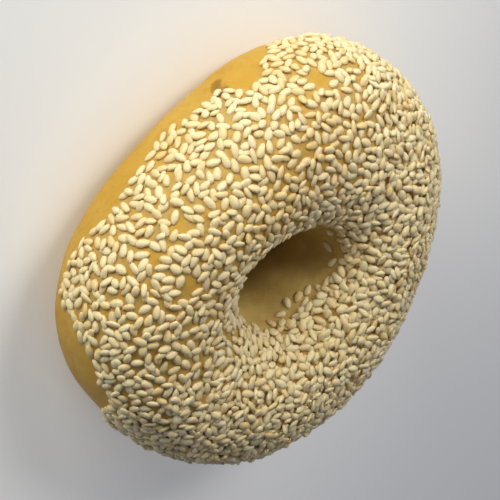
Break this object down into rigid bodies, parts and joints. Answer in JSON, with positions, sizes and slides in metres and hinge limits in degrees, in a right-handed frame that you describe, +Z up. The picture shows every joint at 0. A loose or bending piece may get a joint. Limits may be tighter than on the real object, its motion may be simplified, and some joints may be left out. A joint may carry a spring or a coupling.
{
  "type": "sesame bagel",
  "caption": "Baked ring of dough with a flat underside, a round crown and a flared hole, its top and sides covered in sesame seeds.",
  "frame": {"origin": "middle of the bagel's flat underside, on the surface it lies on", "axes": "+Z up through the hole, +X along the bagel's length, +Y across it"},
  "size_m": [0.124, 0.1074, 0.041],
  "materials": {
    "crust": "smooth golden baked crust with a soft egg-wash sheen, paler and matt on the flat underside",
    "seed": "hulled white sesame, ivory to light tan, matt with a faint oily sheen"
  },
  "bodies": {
    "root": {"bagel": "crust"}
  },
  "joints": []
}
